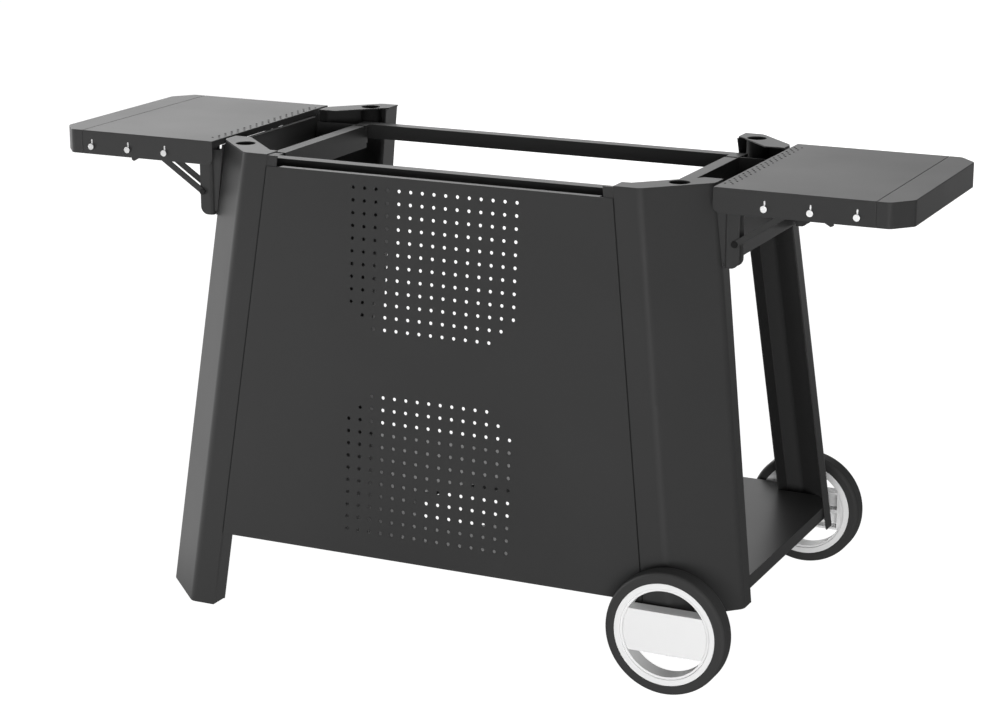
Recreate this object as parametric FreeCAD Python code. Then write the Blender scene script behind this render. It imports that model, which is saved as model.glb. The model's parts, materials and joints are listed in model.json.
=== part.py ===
import FreeCAD, Part
import math
import os

# Outdoor pizza oven table with two fold-down side shelves and two wheels.
# Millimetres. Origin on the floor under the centre of the table, Z up,
# X along the length with the wheels at +X, the front panel faces -Y.

V = FreeCAD.Vector

# Overall stance
top_height = 751.0
splay_x = 0.1215
splay_y = 0.0715
end_half = 424.0
front_half = 250.0
sheet = 2.0

# Legs: one bent section per corner, measured at the top
leg_tongue_in = 277.0
leg_gap_line = 295.0
panel_sheet = 1.5
leg_joggle = panel_sheet + 0.5
leg_front_bend = 337.0
leg_end_bend = 163.0
leg_end_edge = 130.0
leg_bend_radius = 18.0
rear_leg_in = 322.5
rear_leg_bend = 353.3
rear_leg_return = 43.0
rear_leg_end_edge = 149.0
return_bend = 3.0
cap_sheet = 2.0
cap_band = 44.0
cap_side = 34.0
cap_step = 15.0
cap_hole_radius = 16.0
cap_hole_shift = 9.0
cap_hole_reach = 15.6
rear_cap_hole_shift = -15.0
rear_cap_hole_reach = 18.0
wheel_leg_bottom = 104.5
foot_chamfer = 12.8
foot_chamfer_in = 18.2

# Front panel
panel_top = top_height - 18.5
panel_bottom = 124.0
panel_side_gap = 2.2
panel_hem = 12.0
panel_hem_gap = 6.0
hole_pitch = 20.0
hole_radius = 3.0
hole_columns = 15
hole_rows = 12
upper_first_row = top_height - 38.8
pattern_step = 16.397

# Oven frame of square tubes
rail_width = 22.0
rail_height = 24.0
side_rail_height = 38.0
rail_wall = 1.5
frame_top = top_height - 20.0
frame_half_x = 350.0
frame_half_y = 179.0
ear_sheet = 4.0
ear_height = 30.0
ear_step = 15.0
ear_flange = 3.0
ear_foot = 14.5
rail_notch = 7.0

# End aprons between the legs
apron_top = top_height - 9.0
apron_bottom = top_height - 126.0
apron_side_y = 169.0
apron_flange = 9.0
apron_flange_gap = 2.0
apron_sheet = 2.0

# Lower shelf
tray_top = 143.5
tray_lip = 22.0
tray_fit = 0.3
tray_corner = 17.0
tray_opening_radius = 105.0
tray_opening_x = -35.0
tray_opening_y = -39.0
tray_collar = 10.0
tray_sheet = 1.5

# Side shelves
shelf_sheet = 1.5
shelf_in = 431.0
shelf_seam = 681.0
shelf_end_length = 49.0
shelf_out = shelf_seam + shelf_end_length
shelf_half = 193.0
shelf_depth = 39.0
shelf_top = top_height
shelf_inner_lip = 10.0
shelf_corner = 12.0
shelf_round = 1.2
end_chamfer_x = 28.0
end_chamfer_y = 33.0
end_corner = 12.0
end_sheet = 2.0
vent_radius = 1.8
vent_margin = 33.0
vent_pitch = 20.0
vent_rows = 3
vent_row_step = 6.0
vent_first = 437.5

# Tool hooks on the sides of the shelves, set out from the seam
hook_count = 3
hook_pitch = 70.7
hook_front_back = 28.2
hook_rear_back = 18.1
hook_z = top_height - 26.0
hook_disc_radius = 5.2
hook_disc = 1.5
hook_disc_round = 0.5
hook_stand = 4.7
hook_stem = 2.2
hook_end = 1.0
hook_tail = 12.0
hook_tail_width = 2.4
hook_tail_sheet = 0.6

# Fold brackets
bracket_y = 163.0
channel_in = 444.0
channel_out = 467.0
channel_half = 11.0
channel_bottom = apron_bottom
channel_top = top_height - 12.0
channel_corner = 13.0
channel_bend = 5.0
seat_margin = 6.0
pivot_x = 456.0
pivot_z = top_height - 26.0
strut_x = 461.0
strut_z = top_height - 88.0
strut_angle = 33.5
strut_length = 112.3
strut_sheet = 2.5
strut_half_width = 4.8
strut_gap = 0.5
strut_roller = 4.0
arm_sheet = 2.0
arm_gap = 2.6
arm_out = shelf_seam - 28.0
arm_drop = 31.0
arm_back = 10.0
arm_notch = 12.0
pin_radius = 3.0
pin_fit = 0.05
pin_head_radius = 5.0
pin_head = 1.6
lever_far_x = 588.9
lever_near_x = 565.1
lever_z = top_height - 28.0
lever_sheet = 3.0
lever_gap = 0.4
lever_outline = ((-7.0, 7.0), (8.0, 7.0), (11.0, -3.0), (26.0, -12.0), (26.0, -16.0), (22.0, -18.0),
                 (6.0, -9.0), (-7.0, -8.0))

# Wheels
wheel_x = 424.0
wheel_out_y = 343.0
wheel_width = 35.0
tyre_radius = 96.5
tyre_side_radius = 91.0
tyre_shoulder = 6.0
shoulder_curve = ((0.0, 1.0), (0.12, 0.58), (0.42, 0.19), (1.0, 0.0))
tyre_inset = 0.5
rim_radius = 80.5
rim_wall = 9.0
rim_step = 3.5
rim_round = 1.5
rim_groove = 1.3
rim_groove_depth = 1.5
bar_half = 33.0
bar_recess = 3.0
bar_depth = 26.0
bar_wall = 4.0
bar_line_back = 3.0
bar_line = 1.0
pocket_end = 14.0
web_half = 2.5
hub_radius = 15.0
hub_stand = 2.0
axle_radius = 6.0
axle_fit = 0.08
axle_cover = 6.0
axle_hole = 12.0
hanger_sheet = 4.0
hanger_y = 240.0
hanger_width = 60.0
hanger_flange = 25.0
hanger_drop = 14.0
hanger_corner = 11.0
sleeve_radius = 8.5
washer = 1.7
washer_radius = 12.0
side_play = 0.3

# Fixings
bolt_radius = 2.5
bolt_head_radius = 5.0
bolt_head = 2.2
bolt_edge = 5.0
nut_across = 8.0
nut_height = 4.0
stud_end = 2.0
stud_edge = 8.0
nut_drops = (88.0, 328.0, 568.0)
bolt_drops = (56.0, 106.0)
plug_wall = 1.5
plug_head = 2.0
plug_depth = 12.0


def face_of(points):
    wire = Part.makePolygon([V(*p) for p in points] + [V(*points[0])])
    return Part.Face(wire)


def box(x0, x1, y0, y1, z0, z1):
    return Part.makeBox(x1 - x0, y1 - y0, z1 - z0, V(x0, y0, z0))


def rod_y(x, z, radius, y0, y1):
    return Part.makeCylinder(radius, y1 - y0, V(x, y0, z), V(0, 1, 0))


def unit(a, b):
    length = math.hypot(b[0] - a[0], b[1] - a[1])
    return ((b[0] - a[0]) / length, (b[1] - a[1]) / length)


def offset_points(points, amount):
    # Shifts a polyline sideways, to the left of its direction
    result = []
    last = len(points) - 1
    for i, p in enumerate(points):
        before = unit(points[max(i - 1, 0)], points[max(i, 1)])
        after = unit(points[min(i, last - 1)], points[min(i + 1, last)])
        n1 = (-before[1], before[0])
        n2 = (-after[1], after[0])
        scale = amount / (1.0 + n1[0] * n2[0] + n1[1] * n2[1])
        result.append((p[0] + (n1[0] + n2[0]) * scale, p[1] + (n1[1] + n2[1]) * scale))
    return result


def rounded_edges(points, radii, place):
    # Straight and arc edges along an open polyline; radii has one value per inner point
    edges = []
    start = points[0]
    for i in range(1, len(points) - 1):
        radius = radii[i - 1]
        u = unit(points[i - 1], points[i])
        w = unit(points[i], points[i + 1])
        turn = math.acos(max(-1.0, min(1.0, u[0] * w[0] + u[1] * w[1])))
        if radius < 0.01:
            edges.append(Part.LineSegment(place(start), place(points[i])).toShape())
            start = points[i]
            continue
        back = radius * math.tan(turn / 2.0)
        p1 = (points[i][0] - u[0] * back, points[i][1] - u[1] * back)
        p2 = (points[i][0] + w[0] * back, points[i][1] + w[1] * back)
        bis = (w[0] - u[0], w[1] - u[1])
        size = math.hypot(*bis)
        reach = radius / math.cos(turn / 2.0) - radius
        mid = (points[i][0] + bis[0] / size * reach, points[i][1] + bis[1] / size * reach)
        edges.append(Part.LineSegment(place(start), place(p1)).toShape())
        edges.append(Part.Arc(place(p1), place(mid), place(p2)).toShape())
        start = p2
    edges.append(Part.LineSegment(place(start), place(points[-1])).toShape())
    return edges


def bent_face(points, radii, thick, place):
    # Section of a bent sheet: the given line is its outer side, the sheet lies to the left
    inner = offset_points(points, thick)
    inner_radii = []
    for i in range(1, len(points) - 1):
        u = unit(points[i - 1], points[i])
        w = unit(points[i], points[i + 1])
        left_turn = u[0] * w[1] - u[1] * w[0] > 0
        radius = radii[i - 1]
        if radius < 0.01:
            inner_radii.append(0.0)
        else:
            inner_radii.append(max(radius - thick, 0.3) if left_turn else radius + thick)
    outer_edges = rounded_edges(points, radii, place)
    inner_edges = rounded_edges(inner, inner_radii, place)
    ends = [Part.LineSegment(place(points[0]), place(inner[0])).toShape(),
            Part.LineSegment(place(points[-1]), place(inner[-1])).toShape()]
    wire = Part.Wire(Part.__sortEdges__(outer_edges + inner_edges + ends))
    return Part.Face(wire)


def mirrored_x(shape):
    return shape.mirror(V(0, 0, 0), V(1, 0, 0))


def mirrored_y(shape):
    return shape.mirror(V(0, 0, 0), V(0, 1, 0))


def turned(shape):
    # The same piece used at the other end, half a turn about Z
    copy = shape.copy()
    copy.rotate(V(0, 0, 0), V(0, 0, 1), 180)
    return copy


def cleaned(shape):
    if len(shape.Solids) == 1:
        return shape.Solids[0]
    return shape


# Legs, all drawn as the leg at the front right

def rear_end_bend():
    # The diagonal face stands at 45 degrees, as on the front legs
    return front_half - (end_half - rear_leg_bend)


def front_section():
    # Outer line from the set-back tongue behind the panel to the end edge
    back = -front_half + leg_joggle
    points = [(leg_tongue_in, back), (leg_gap_line - leg_joggle, back), (leg_gap_line, -front_half),
              (leg_front_bend, -front_half), (end_half, -leg_end_bend), (end_half, -leg_end_edge)]
    return points, [0.0, 0.0, leg_bend_radius, leg_bend_radius]


def rear_section():
    # The rear legs have a return flange instead of the tongue
    points = [(rear_leg_in, -front_half + rear_leg_return), (rear_leg_in, -front_half),
              (rear_leg_bend, -front_half), (end_half, -rear_end_bend()), (end_half, -rear_leg_end_edge)]
    return points, [return_bend, leg_bend_radius, leg_bend_radius]


def leg_blank(section, z_low):
    # The section slides outwards as it goes down, so the leg leans both ways
    points, radii = section
    z_high = top_height - cap_sheet
    dx = splay_x * cap_sheet
    dy = splay_y * cap_sheet
    rise = z_high - z_low
    face = bent_face(points, radii, sheet, lambda p: V(p[0] + dx, p[1] - dy, z_high))
    return face.extrude(V(splay_x * rise, -splay_y * rise, -rise))


def standing_leg(section):
    # The inner end of the flange is cut off obliquely at the foot
    leg = leg_blank(section, 0.0)
    x0 = section[0][0][0] + splay_x * top_height
    cut = face_of([(x0, -wheel_out_y, 0), (x0 + foot_chamfer_in, -wheel_out_y, 0),
                   (x0, -wheel_out_y, foot_chamfer), (x0 - foot_chamfer, -wheel_out_y, foot_chamfer),
                   (x0 - foot_chamfer, -wheel_out_y, 0)])
    return cleaned(leg.cut(cut.extrude(V(0, wheel_out_y, 0))))


def wheel_leg(section):
    leg = leg_blank(section, wheel_leg_bottom)
    room = rod_y(wheel_x, tyre_radius, axle_hole, -wheel_out_y, 0)
    return cleaned(leg.cut(room))


def cap(inner, bend, end_bend, end_edge, hole_shift, hole_reach):
    # Flat cap; its hole lies inwards from the middle of the diagonal edge and shifted along it
    front = -front_half
    line = bend + front_half - cap_band * math.sqrt(2.0)
    notch = inner + cap_step
    points = [(inner, front), (bend, front), (end_half, -end_bend), (end_half, -end_edge),
              (line - end_edge, -end_edge), (notch, notch - line), (inner, front + cap_side)]
    plate = face_of([(p[0], p[1], top_height - cap_sheet) for p in points]).extrude(V(0, 0, cap_sheet))
    upright = [e for e in plate.Edges if abs(e.Vertexes[0].Z - e.Vertexes[-1].Z) > 0.5]
    bends = [e for e in upright for p in points[1:3]
             if math.hypot(e.Vertexes[0].X - p[0], e.Vertexes[0].Y - p[1]) < 0.01]
    plate = plate.makeFillet(leg_bend_radius, bends)
    diag = (end_half - bend) / 2.0
    cx = bend + diag - hole_reach + hole_shift
    cy = -front_half + diag + hole_reach + hole_shift
    hole = Part.makeCylinder(cap_hole_radius, 10, V(cx, cy, top_height - 6))
    return cleaned(plate.cut(hole))


def front_cap():
    return cap(leg_gap_line, leg_front_bend, leg_end_bend, leg_end_edge, cap_hole_shift, cap_hole_reach)


def rear_cap():
    return cap(rear_leg_in, rear_leg_bend, rear_end_bend(), rear_leg_end_edge,
               rear_cap_hole_shift, rear_cap_hole_reach)


# Front panel

def panel_y(z):
    return -front_half - splay_y * (top_height - z)


def panel_half(z):
    return leg_gap_line - panel_side_gap + splay_x * (top_height - z)


def on_panel(x, z, depth=0.0):
    return V(x, panel_y(z) + depth, z)


def pattern_rows(column):
    # Rows left out where the two patterns taper towards the space between them
    edge = min(column, hole_columns - 1 - column)
    return max(0, 2 - edge)


def hole_centres():
    tilt = math.atan(splay_y)
    fall = hole_pitch * math.cos(tilt)
    centres = []
    for column in range(hole_columns):
        x = (column - (hole_columns - 1) / 2.0) * hole_pitch
        cut = pattern_rows(column)
        for row in range(hole_rows):
            if row < hole_rows - cut:
                centres.append((x, upper_first_row - row * fall))
            if row >= cut:
                centres.append((x, upper_first_row - (pattern_step + row) * fall))
    return centres


def panel():
    normal = V(0, 1, -splay_y)
    normal.normalize()
    corners_xz = [(-panel_half(panel_top), panel_top), (panel_half(panel_top), panel_top),
                  (panel_half(panel_bottom), panel_bottom), (-panel_half(panel_bottom), panel_bottom)]
    outline = [on_panel(x, z) for x, z in corners_xz]
    wires = [Part.makePolygon(outline + [outline[0]])]
    for x, z in hole_centres():
        wires.append(Part.Wire(Part.makeCircle(hole_radius, on_panel(x, z), normal)))
    plate = Part.makeFace(Part.makeCompound(wires), "Part::FaceMakerBullseye").extrude(normal * panel_sheet)
    # The top edge is turned inwards, the bottom edge is folded flat against the back
    z = panel_top
    half = leg_tongue_in - panel_hem_gap + splay_x * (top_height - z)
    y0 = panel_y(z) + 0.5
    strip = box(-half, half, y0, panel_y(z) + panel_hem, z - panel_sheet, z)
    z = panel_bottom
    half = leg_tongue_in - panel_hem_gap + splay_x * (top_height - z)
    fold = face_of([on_panel(-half, z, 0.5), on_panel(-half, z, 2 * panel_sheet),
                    on_panel(-half, z + panel_hem, 2 * panel_sheet), on_panel(-half, z + panel_hem, 0.5)])
    fold = fold.extrude(V(2 * half, 0, 0))
    return cleaned(plate.fuse([strip, fold]).removeSplitter())


# Oven frame

def tube_x(x0, x1, y0, y1):
    z0 = frame_top - rail_height
    wall = rail_wall
    outer = box(x0, x1, y0, y1, z0, frame_top)
    return outer.cut(box(x0 - 1, x1 + 1, y0 + wall, y1 - wall, z0 + wall, frame_top - wall))


def tube_y(x0, x1, y0, y1):
    z0 = frame_top - side_rail_height
    wall = rail_wall
    outer = box(x0, x1, y0, y1, z0, frame_top)
    return outer.cut(box(x0 + wall, x1 - wall, y0 - 1, y1 + 1, z0 + wall, frame_top - wall))


def apron_face_x(z):
    return end_half + apron_sheet + splay_x * (top_height - z)


def ear_y():
    # Inner face of the ear plate, where the side rail butts
    return -frame_half_y + rail_width + ear_step


def leg_inner_x(z):
    return end_half - sheet + splay_x * (top_height - z)


def ear():
    # Upright plate from the frame corner to the leg, front right: a top flange to the front rail
    # and a foot that lies against the leg's end flange
    y1 = ear_y()
    z0 = frame_top - ear_height
    x0 = frame_half_x - rail_width
    face = face_of([(x0, y1, z0), (leg_inner_x(z0), y1, z0), (leg_inner_x(frame_top), y1, frame_top),
                    (x0, y1, frame_top)])
    plate = face.extrude(V(0, -ear_sheet, 0))
    flange = box(x0, frame_half_x, y1 - ear_step, y1, frame_top - ear_flange, frame_top)
    x_low = leg_inner_x(z0)
    x_high = leg_inner_x(frame_top)
    foot = face_of([(x_low - ear_flange, y1, z0), (x_low, y1, z0), (x_high, y1, frame_top),
                    (x_high - ear_flange, y1, frame_top)])
    return cleaned(plate.fuse([flange, foot.extrude(V(0, -ear_foot, 0))]).removeSplitter())


def side_rail():
    # Right rail between the ear plates; its top wall and inner wall stop short of both
    end = -ear_y()
    x0 = frame_half_x - rail_width
    rail = tube_y(x0, frame_half_x, -end, end)
    x1 = frame_half_x - rail_wall
    cut = box(x0 - 1, x1, end - rail_notch, end + 1, frame_top - rail_notch, frame_top + 1)
    return cleaned(rail.cut(cut.fuse(mirrored_y(cut))))


def apron():
    # Leaning end plate, right end; its top edge is turned inwards between the two legs
    foot = apron_face_x(apron_bottom)
    head = apron_face_x(apron_top)
    face = face_of([(foot, -apron_side_y, apron_bottom), (foot - apron_sheet, -apron_side_y, apron_bottom),
                    (head - apron_sheet, -apron_side_y, apron_top), (head, -apron_side_y, apron_top)])
    plate = face.extrude(V(0, 2 * apron_side_y, 0))
    half = leg_end_edge - apron_flange_gap
    low = apron_top - apron_sheet
    flange = box(head - apron_flange, head - apron_sheet / 2.0, -half, half, low, apron_top)
    return cleaned(plate.fuse(flange).removeSplitter())


# Lower shelf

def tray_outline(shrink, z):
    # Right half from front to rear, then its mirror image; the rear corners step round the return flanges
    fall = top_height - tray_top
    half_x = end_half - sheet + splay_x * fall - tray_fit - shrink
    front = front_half - leg_joggle - sheet + splay_y * fall - tray_fit - shrink
    rear = front_half - sheet + splay_y * fall - tray_fit - shrink
    lean = (splay_x + splay_y) * fall - (sheet + tray_fit + shrink) * math.sqrt(2.0)
    front_line = leg_front_bend + front_half + lean
    rear_line = rear_leg_bend + front_half + lean
    step_x = rear_leg_in + splay_x * fall - tray_fit - shrink
    step_y = front_half - rear_leg_return + splay_y * fall - tray_fit - shrink
    right = [(front_line - front, -front), (half_x, half_x - front_line), (half_x, rear_line - half_x),
             (rear_line - step_y, step_y), (step_x, step_y), (step_x, rear)]
    left = [(-x, y) for x, y in reversed(right)]
    bend = tray_corner - shrink
    radii = [bend, bend, bend, 0.0, 0.0, 0.0]
    middle = (0.0, -front)
    loop = [middle] + right + left + [middle]
    edges = rounded_edges(loop, radii + radii[::-1], lambda p: V(p[0], p[1], z))
    return Part.Face(Part.Wire(Part.__sortEdges__(edges)))


def tray():
    z0 = tray_top - tray_lip
    body = tray_outline(0.0, z0).extrude(V(0, 0, tray_lip))
    body = body.cut(tray_outline(tray_sheet, z0 - 1).extrude(V(0, 0, tray_lip + 1 - tray_sheet)))
    low = V(tray_opening_x, tray_opening_y, tray_top - tray_collar)
    body = body.fuse(Part.makeCylinder(tray_opening_radius + tray_sheet, tray_collar, low))
    body = body.cut(Part.makeCylinder(tray_opening_radius, 2 * tray_collar, low))
    return cleaned(body.removeSplitter())


# Side shelves

def hook_places(back):
    return [shelf_seam - back - i * hook_pitch for i in range(hook_count)]


def tool_hook(x):
    # Disc on a stem through the shelf's side, with a short tail lying on the side, front side
    face_y = -shelf_half
    stem = rod_y(x, hook_z, hook_stem, face_y - hook_stand + hook_disc, face_y + shelf_sheet + hook_end)
    disc = rod_y(x, hook_z, hook_disc_radius, face_y - hook_stand, face_y - hook_stand + hook_disc)
    disc = disc.makeFillet(hook_disc_round, [e for e in disc.Edges if e.Closed])
    half = hook_tail_width / 2.0
    tail_top = hook_z + hook_tail - half
    tail = box(x - half, x + half, face_y - hook_tail_sheet, face_y, hook_z, tail_top)
    tail_end = rod_y(x, tail_top, half, face_y - hook_tail_sheet, face_y)
    return cleaned(stem.fuse([disc, tail, tail_end]).removeSplitter())


def vent_centres():
    # The middle row is shifted by half a pitch and has one vent less
    centres = []
    steps = int(2 * (shelf_half - vent_margin) / vent_pitch)
    for row in range(vent_rows):
        x = vent_first + row * vent_row_step
        shifted = row % 2
        for i in range(steps + 1 - shifted):
            centres.append((x, -shelf_half + vent_margin + (i + shifted / 2.0) * vent_pitch))
    return centres


def rounded_rims(body, x_edge):
    # Rounds the long upper edges and the edges along the seam
    chosen = []
    for edge in body.Edges:
        ends = [v.Point for v in edge.Vertexes]
        if len(ends) < 2:
            continue
        on_top = all(abs(p.z - shelf_top) < 0.01 for p in ends)
        at_side = all(abs(abs(p.y) - shelf_half) < 0.01 and abs(p.x - x_edge) < 0.01 for p in ends)
        if on_top or at_side:
            chosen.append(edge)
    return body.makeFillet(shelf_round, chosen)


def shelf():
    # Right shelf: top sheet, two hanging sides with holes for the hooks, short lip at the inner edge
    low = shelf_top - shelf_depth
    body = box(shelf_in, shelf_seam, -shelf_half, shelf_half, shelf_top - shelf_sheet, shelf_top)
    for y0, back in ((-shelf_half, hook_front_back), (shelf_half - shelf_sheet, hook_rear_back)):
        y1 = y0 + shelf_sheet
        side_box = box(shelf_in, shelf_seam, y0, y1, low, shelf_top - shelf_sheet)
        corner = [e for e in side_box.Edges if abs(e.CenterOfMass.x - shelf_in) < 0.01
                  and abs(e.CenterOfMass.z - low) < 0.01]
        side_box = side_box.makeFillet(shelf_corner, corner)
        for x in hook_places(back):
            side_box = side_box.cut(rod_y(x, hook_z, hook_stem, y0 - 1, y1 + 1))
        body = body.fuse(side_box)
    lip = box(shelf_in, shelf_in + shelf_sheet, -shelf_half + shelf_sheet, shelf_half - shelf_sheet,
              shelf_top - shelf_inner_lip, shelf_top - shelf_sheet)
    body = rounded_rims(body.fuse(lip).removeSplitter(), shelf_seam)
    vents = [Part.makeCylinder(vent_radius, 2 * shelf_sheet, V(x, y, shelf_top - 1.5 * shelf_sheet))
             for x, y in vent_centres()]
    return cleaned(body.cut(group(vents)))


def end_rail_outline(shrink, x_start, z):
    # Runs from the seam round the two chamfered outer corners; shrink gives the inside of the wall
    outer = [(x_start, -shelf_half), (shelf_out - end_chamfer_x, -shelf_half),
             (shelf_out, -shelf_half + end_chamfer_y), (shelf_out, shelf_half - end_chamfer_y),
             (shelf_out - end_chamfer_x, shelf_half), (x_start, shelf_half)]
    points = offset_points(outer, shrink)
    edges = rounded_edges(points, [end_corner - shrink] * 4, lambda p: V(p[0], p[1], z))
    edges.append(Part.LineSegment(V(*points[-1], z), V(*points[0], z)).toShape())
    return Part.Face(Part.Wire(Part.__sortEdges__(edges)))


def end_rail():
    low = shelf_top - shelf_depth
    body = end_rail_outline(0.0, shelf_seam, low).extrude(V(0, 0, shelf_depth))
    inside = end_rail_outline(end_sheet, shelf_seam + end_sheet, low - 1)
    body = body.cut(inside.extrude(V(0, 0, shelf_depth + 1 - end_sheet)))
    return cleaned(rounded_rims(body, shelf_seam))


# Fold brackets, drawn for the front right corner about its own middle plane

def at_bracket(shape):
    moved = shape.copy()
    moved.translate(V(0, -bracket_y, 0))
    return moved


def channel():
    # Upright channel open outwards, on a tapered seat against the leaning apron
    points = [(channel_out, channel_half), (channel_in, channel_half),
              (channel_in, -channel_half), (channel_out, -channel_half)]
    face = bent_face(points, [channel_bend, channel_bend], sheet, lambda p: V(p[0], p[1], channel_bottom))
    body = face.extrude(V(0, 0, channel_top - channel_bottom))
    corner_x = channel_out - channel_corner
    corner_z = channel_bottom + channel_corner
    trim = box(corner_x, channel_out + 1, -20, 20, channel_bottom - 1, corner_z)
    body = body.cut(trim.cut(rod_y(corner_x, corner_z, channel_corner, -21, 21)))
    half = channel_half - channel_bend
    z0 = channel_bottom + seat_margin
    z1 = channel_top - seat_margin
    seat = face_of([(apron_face_x(z0), -half, z0), (channel_in, -half, z0),
                    (channel_in, -half, z1), (apron_face_x(z1), -half, z1)]).extrude(V(0, 2 * half, 0))
    body = body.fuse(seat)
    for x, z in ((pivot_x, pivot_z), (strut_x, strut_z)):
        body = body.cut(rod_y(x, z, pin_radius, -20, 20))
    return cleaned(body.removeSplitter())


def pivot_pin(x, z, half):
    pin = rod_y(x, z, pin_radius, -half, half)
    for side in (-1.0, 1.0):
        y0 = min(side * half, side * (half + pin_head))
        pin = pin.fuse(rod_y(x, z, pin_head_radius, y0, y0 + pin_head))
    return cleaned(pin.removeSplitter())


bar_in = channel_half + strut_gap
bar_out = bar_in + strut_sheet
arm_in = bar_out + arm_gap
arm_out_y = arm_in + arm_sheet


def strut_point(along, across):
    a = math.radians(strut_angle)
    x = strut_x + along * math.cos(a) - across * math.sin(a)
    z = strut_z + along * math.sin(a) + across * math.cos(a)
    return x, z


def strut():
    # Two parallel flat bars joined by a cross roller at the upper end
    body = None
    for y0 in (-bar_out, bar_in):
        corners = [strut_point(0, -strut_half_width), strut_point(strut_length, -strut_half_width),
                   strut_point(strut_length, strut_half_width), strut_point(0, strut_half_width)]
        bar = face_of([(p[0], y0, p[1]) for p in corners]).extrude(V(0, strut_sheet, 0))
        for along in (0, strut_length):
            centre = strut_point(along, 0)
            bar = bar.fuse(rod_y(centre[0], centre[1], strut_half_width, y0, y0 + strut_sheet))
        body = bar if body is None else body.fuse(bar)
    tip = strut_point(strut_length, 0)
    body = body.fuse(rod_y(tip[0], tip[1], strut_roller, -bar_out, bar_out))
    body = body.cut(rod_y(strut_x, strut_z, pin_radius + pin_fit, -30, 30))
    return cleaned(body.removeSplitter())


def arm(lever_x):
    # Inverted channel under the shelf, hinged on the upright channel
    top = shelf_top - shelf_sheet
    low = top - arm_drop
    x0 = pivot_x - arm_back
    body = box(x0, arm_out, -arm_out_y, arm_out_y, low, top)
    body = body.cut(box(x0 - 1, arm_out + 1, -arm_in, arm_in, low - 1, top - arm_sheet))
    body = body.cut(box(x0 - 1, channel_out + arm_notch, -arm_in, arm_in, low - 1, top + 1))
    body = body.cut(rod_y(pivot_x, pivot_z, pin_radius + pin_fit, -30, 30))
    body = body.cut(rod_y(lever_x, lever_z, pin_radius, -30, 30))
    return body


def lever(lever_x):
    # Release lever on the outer side of the arm, its tail shows below the shelf
    y0 = -(arm_out_y + lever_gap + lever_sheet)
    points = [(lever_x + dx, y0, lever_z + dz) for dx, dz in lever_outline]
    plate = face_of(points).extrude(V(0, lever_sheet, 0))
    return plate.cut(rod_y(lever_x, lever_z, pin_radius + pin_fit, -40, 40))


def lever_pin(lever_x):
    y0 = -(arm_out_y + 2 * lever_gap + lever_sheet)
    pin = rod_y(lever_x, lever_z, pin_radius, y0, -arm_in)
    return cleaned(pin.fuse(rod_y(lever_x, lever_z, pin_head_radius, y0 - pin_head, y0)).removeSplitter())


# Wheels, drawn for the front side

def rim():
    y0 = -wheel_out_y
    y1 = y0 + wheel_width
    ring = rod_y(wheel_x, tyre_radius, rim_radius, y0, y1)
    inner = rim_radius - rim_wall
    ring = ring.cut(rod_y(wheel_x, tyre_radius, inner, y0 - 1, y1 + 1))
    front_edge = [e for e in ring.Edges if e.Closed and abs(e.CenterOfMass.y - y0) < 0.01
                  and abs(e.Curve.Radius - inner) < 0.01]
    ring = ring.makeFillet(rim_round, front_edge)
    step = rod_y(wheel_x, tyre_radius, inner + 0.5, y0 + bar_recess, y1 - 4)
    step = step.cut(rod_y(wheel_x, tyre_radius, inner - rim_step, y0, y1))
    slab = box(wheel_x - rim_radius, wheel_x + rim_radius, y0 + bar_recess, y0 + bar_recess + bar_depth,
               tyre_radius - bar_half, tyre_radius + bar_half)
    bar = slab.common(rod_y(wheel_x, tyre_radius, inner + 0.5, y0 - 1, y1 + 1))
    reach = inner - pocket_end
    pocket = box(wheel_x - reach, wheel_x + reach, y0 + bar_recess + bar_wall + 1, y1 + 1,
                 tyre_radius - bar_half + bar_wall, tyre_radius + bar_half - bar_wall)
    bar = bar.cut(pocket)
    # Fine lines: a curved groove at each end of the bar's face, a straight one above and below
    ledge = inner - rim_step
    face_y = y0 + bar_recess
    groove = rod_y(wheel_x, tyre_radius, ledge, face_y - 1, face_y + rim_groove_depth)
    groove = groove.cut(rod_y(wheel_x, tyre_radius, ledge - rim_groove, face_y - 2, face_y + 2))
    bar = bar.cut(groove)
    line_y = face_y + bar_line_back
    for z0 in (tyre_radius - bar_half - bar_line, tyre_radius + bar_half - bar_line):
        bar = bar.cut(box(wheel_x - ledge, wheel_x + ledge, line_y, line_y + bar_line, z0, z0 + 2 * bar_line))
    hub_end = y1 + hub_stand
    hub = rod_y(wheel_x, tyre_radius, hub_radius, y0 + bar_recess + 4, hub_end)
    web = box(wheel_x - reach - 1, wheel_x + reach + 1, y0 + bar_recess + 4, y1 - 6,
              tyre_radius - web_half, tyre_radius + web_half)
    body = ring.fuse([step, bar, hub, web])
    bore = rod_y(wheel_x, tyre_radius, axle_radius + axle_fit, y0 + bar_recess + axle_cover, hub_end + 1)
    return cleaned(body.cut(bore).removeSplitter())


def tyre():
    # Solid tyre with a flat tread and rounded shoulders, fitted tightly on the rim
    half = wheel_width / 2.0 - tyre_inset
    mid = -wheel_out_y + wheel_width / 2.0
    drop = tyre_radius - tyre_side_radius
    shoulder = [(tyre_radius - drop * fall, tyre_shoulder * part) for part, fall in shoulder_curve]
    points = [(rim_radius, -half)] + [(r, y - half) for r, y in shoulder]
    points += [(r, half - y) for r, y in reversed(shoulder)] + [(rim_radius, half)]
    face = face_of([(wheel_x + r, mid + y, tyre_radius) for r, y in points])
    return face.revolve(V(wheel_x, mid, tyre_radius), V(0, 1, 0), 360)


def hub_face():
    return wheel_out_y - wheel_width - hub_stand


def axle():
    end = wheel_out_y - bar_recess - axle_cover - 1.0
    bar = rod_y(wheel_x, tyre_radius, axle_radius, -end, end)
    ends = [e for e in bar.Edges if e.Closed]
    return bar.makeChamfer(0.8, ends)


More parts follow.
